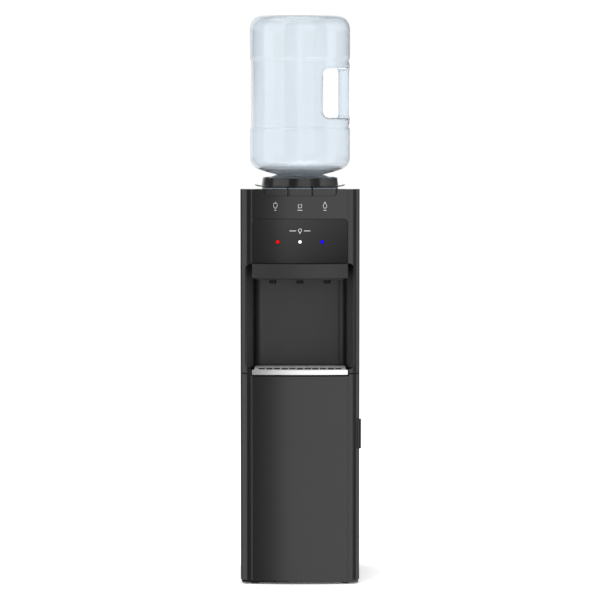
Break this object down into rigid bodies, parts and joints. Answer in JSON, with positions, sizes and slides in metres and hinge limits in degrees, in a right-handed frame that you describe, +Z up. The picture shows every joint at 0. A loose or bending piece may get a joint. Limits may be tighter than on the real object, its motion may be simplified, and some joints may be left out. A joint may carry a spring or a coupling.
{
  "type": "floor-standing bottled water dispenser",
  "caption": "Upright black cabinet water dispenser with an inverted clear bottle on top, push buttons over an alcove with spouts and drip tray, and a storage door below.",
  "frame": {"origin": "on the floor, under the centre of the bounding box", "axes": "+Z up; -Y is the front with the door and spouts; +X is the side the door grip is on"},
  "size_m": [0.3146, 0.357, 1.4826],
  "materials": {
    "fascia_plastic": "smooth satin-gloss black moulding",
    "door_plastic": "smooth satin-gloss black moulding",
    "display_gloss": "high gloss black window panel",
    "button_plastic": "satin black, tops reflecting grey-blue",
    "liner_plastic": "fine-grained matt black",
    "nozzle_plastic": "matt black",
    "cabinet_steel": "powder-coated black sheet steel",
    "trim_metal": "satin bright trim",
    "grille_steel": "brushed stainless",
    "seat_plastic": "glossy black moulding",
    "support_plastic": "translucent grey-blue",
    "probe_plastic": "natural white",
    "bottle_clear": "clear light blue, smooth",
    "cap_blue": "satin blue",
    "lamp_red": "lit red lens",
    "lamp_white": "lit white lens",
    "lamp_blue": "lit blue lens",
    "board": "green circuit board",
    "spring_steel": "bright spring wire",
    "silicone": "translucent white silicone",
    "stainless": "plain stainless",
    "foam": "white closed-cell foam",
    "copper": "bare copper tube",
    "black_enamel": "black enamel",
    "black_nylon": "matt black",
    "switch_red": "red rocker",
    "switch_green": "green rocker",
    "foot_rubber": "matt black rubber"
  },
  "bodies": {
    "cabinet": {"upper_fascia": "fascia_plastic", "top_cover": "fascia_plastic", "spout_cover": "fascia_plastic", "base_pan": "door_plastic", "display_panel": "display_gloss", "alcove_liner": "liner_plastic", "storage_liner": "liner_plastic", "nozzle_hot": "nozzle_plastic", "nozzle_room": "nozzle_plastic", "nozzle_cold": "nozzle_plastic", "side_panel_left": "cabinet_steel", "side_panel_right": "cabinet_steel", "back_panel": "cabinet_steel", "bottle_seat": "seat_plastic", "bottle_support_ring": "support_plastic", "feed_probe": "probe_plastic", "valve_hot": "probe_plastic", "valve_room": "probe_plastic", "valve_cold": "probe_plastic", "led_hot": "lamp_red", "led_room": "lamp_white", "led_cold": "lamp_blue", "control_board": "board", "button_spring_hot": "spring_steel", "button_spring_room": "spring_steel", "button_spring_cold": "spring_steel", "hose_hot": "silicone", "hose_room": "silicone", "hose_cold": "silicone", "drain_hose": "silicone", "cold_tank": "stainless", "hot_tank": "stainless", "compressor_cradle": "stainless", "door_hinge_pin_upper": "stainless", "door_hinge_pin_lower": "stainless", "cold_tank_jacket": "foam", "hot_tank_jacket": "foam", "evaporator_coil": "copper", "compressor": "black_enamel", "condenser": "black_enamel", "power_inlet": "black_nylon", "switch_housing": "black_nylon", "foot_front_left": "foot_rubber", "foot_front_right": "foot_rubber", "foot_rear_left": "foot_rubber", "foot_rear_right": "foot_rubber"},
    "door": {"door_panel": "door_plastic", "door_liner": "liner_plastic", "door_grip": "door_plastic"},
    "drip_tray": {"drip_tray": "liner_plastic", "drip_tray_trim": "trim_metal"},
    "drip_grille": {"drip_grille": "grille_steel"},
    "bottle": {"bottle": "bottle_clear", "bottle_cap": "cap_blue"},
    "button_hot": {"button_hot": "button_plastic"},
    "button_room": {"button_room": "button_plastic"},
    "button_cold": {"button_cold": "button_plastic"},
    "switch_hot": {"switch_hot": "switch_red"},
    "switch_cold": {"switch_cold": "switch_green"},
    "drain_cap": {"drain_cap": "black_nylon"}
  },
  "joints": [
    {"name": "door_swing", "type": "hinge", "parent": "cabinet", "child": "door", "pos_m": [-0.1483, -0.1415, 0.28], "axis": [0, 0, -1], "range_deg": [0, 105]},
    {"name": "drip_tray_slide", "type": "slide", "parent": "cabinet", "child": "drip_tray", "axis": [0, -1, 0], "range_m": [0, 0.11]},
    {"name": "drip_grille_lift", "type": "slide", "parent": "drip_tray", "child": "drip_grille", "axis": [0, 0, 1], "range_m": [0, 0.03]},
    {"name": "bottle_lift", "type": "slide", "parent": "cabinet", "child": "bottle", "axis": [0, 0, 1], "range_m": [0, 0.12]},
    {"name": "button_hot_press", "type": "slide", "parent": "cabinet", "child": "button_hot", "axis": [0, 0, -1], "range_m": [0, 0.004], "stiffness_N_per_m": 600, "springref_m": -0.002, "deforming": ["button_spring_hot"]},
    {"name": "button_room_press", "type": "slide", "parent": "cabinet", "child": "button_room", "axis": [0, 0, -1], "range_m": [0, 0.004], "stiffness_N_per_m": 600, "springref_m": -0.002, "deforming": ["button_spring_room"]},
    {"name": "button_cold_press", "type": "slide", "parent": "cabinet", "child": "button_cold", "axis": [0, 0, -1], "range_m": [0, 0.004], "stiffness_N_per_m": 600, "springref_m": -0.002, "deforming": ["button_spring_cold"]},
    {"name": "switch_hot_rock", "type": "hinge", "parent": "cabinet", "child": "switch_hot", "pos_m": [-0.0723, 0.1635, 0.95], "axis": [-1, 0, 0], "range_deg": [0, 14]},
    {"name": "switch_cold_rock", "type": "hinge", "parent": "cabinet", "child": "switch_cold", "pos_m": [-0.0343, 0.1635, 0.95], "axis": [-1, 0, 0], "range_deg": [0, 14]},
    {"name": "drain_cap_pull", "type": "slide", "parent": "cabinet", "child": "drain_cap", "axis": [0, 1, 0], "range_m": [0, 0.03]}
  ]
}
